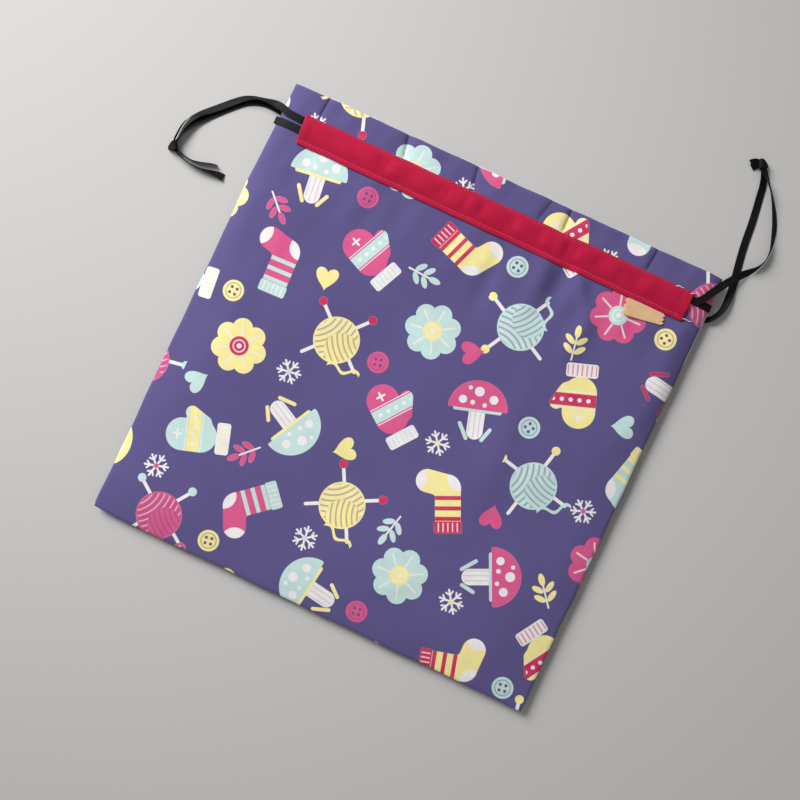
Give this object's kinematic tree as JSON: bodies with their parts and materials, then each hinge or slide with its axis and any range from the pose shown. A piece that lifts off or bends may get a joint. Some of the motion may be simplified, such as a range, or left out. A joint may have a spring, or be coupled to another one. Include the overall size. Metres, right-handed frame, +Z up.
{
  "type": "drawstring project bag",
  "caption": "Flat lined cloth project bag with a casing across each wall below the mouth and crossed ribbon drawstrings that close it when pulled apart.",
  "frame": {"origin": "middle of the bag's underside, on the surface it lies on", "axes": "+Z up out of the front wall, +Y towards the mouth, +X to the right seen from the front"},
  "size_m": [0.4806, 0.4836, 0.0122],
  "materials": {
    "printed_cloth": "woven cotton canvas with a small scattered print",
    "lining_cloth": "plain pale cotton",
    "casing_cloth": "plain red cotton, topstitched",
    "ribbon": "black woven ribbon",
    "label_tab": "bare tan tab with pinked ends"
  },
  "bodies": {
    "bag": {"front_panel": "printed_cloth", "back_panel": "printed_cloth", "front_lining": "lining_cloth", "back_lining": "lining_cloth", "left_side_seam": "printed_cloth", "right_side_seam": "printed_cloth", "bottom_seam": "printed_cloth", "front_casing": "casing_cloth", "back_casing": "casing_cloth", "front_casing_lower_hem": "casing_cloth", "front_casing_upper_hem": "casing_cloth", "back_casing_lower_hem": "casing_cloth", "back_casing_upper_hem": "casing_cloth", "label": "label_tab"},
    "left_drawstring": {"left_ribbon_front_run": "ribbon", "left_ribbon_back_run": "ribbon", "left_ribbon_wrap": "ribbon", "left_ribbon_front_strand": "ribbon", "left_ribbon_back_strand": "ribbon", "left_ribbon_knot": "ribbon", "left_ribbon_tail_1": "ribbon", "left_ribbon_tail_2": "ribbon"},
    "right_drawstring": {"right_ribbon_front_run": "ribbon", "right_ribbon_back_run": "ribbon", "right_ribbon_wrap": "ribbon", "right_ribbon_front_strand": "ribbon", "right_ribbon_back_strand": "ribbon", "right_ribbon_knot": "ribbon", "right_ribbon_tail_1": "ribbon", "right_ribbon_tail_2": "ribbon"}
  },
  "joints": [
    {"name": "left_pull", "type": "slide", "parent": "bag", "child": "left_drawstring", "axis": [-1, 0, 0], "range_m": [0, 0.105], "deforming": ["front_panel", "back_panel", "front_lining", "back_lining", "right_side_seam", "front_casing", "back_casing", "front_casing_lower_hem", "front_casing_upper_hem", "back_casing_lower_hem", "back_casing_upper_hem"]},
    {"name": "right_pull", "type": "slide", "parent": "bag", "child": "right_drawstring", "axis": [1, 0, 0], "range_m": [0, 0.105], "deforming": ["front_panel", "back_panel", "front_lining", "back_lining", "left_side_seam", "front_casing", "back_casing", "front_casing_lower_hem", "front_casing_upper_hem", "back_casing_lower_hem", "back_casing_upper_hem"]}
  ]
}
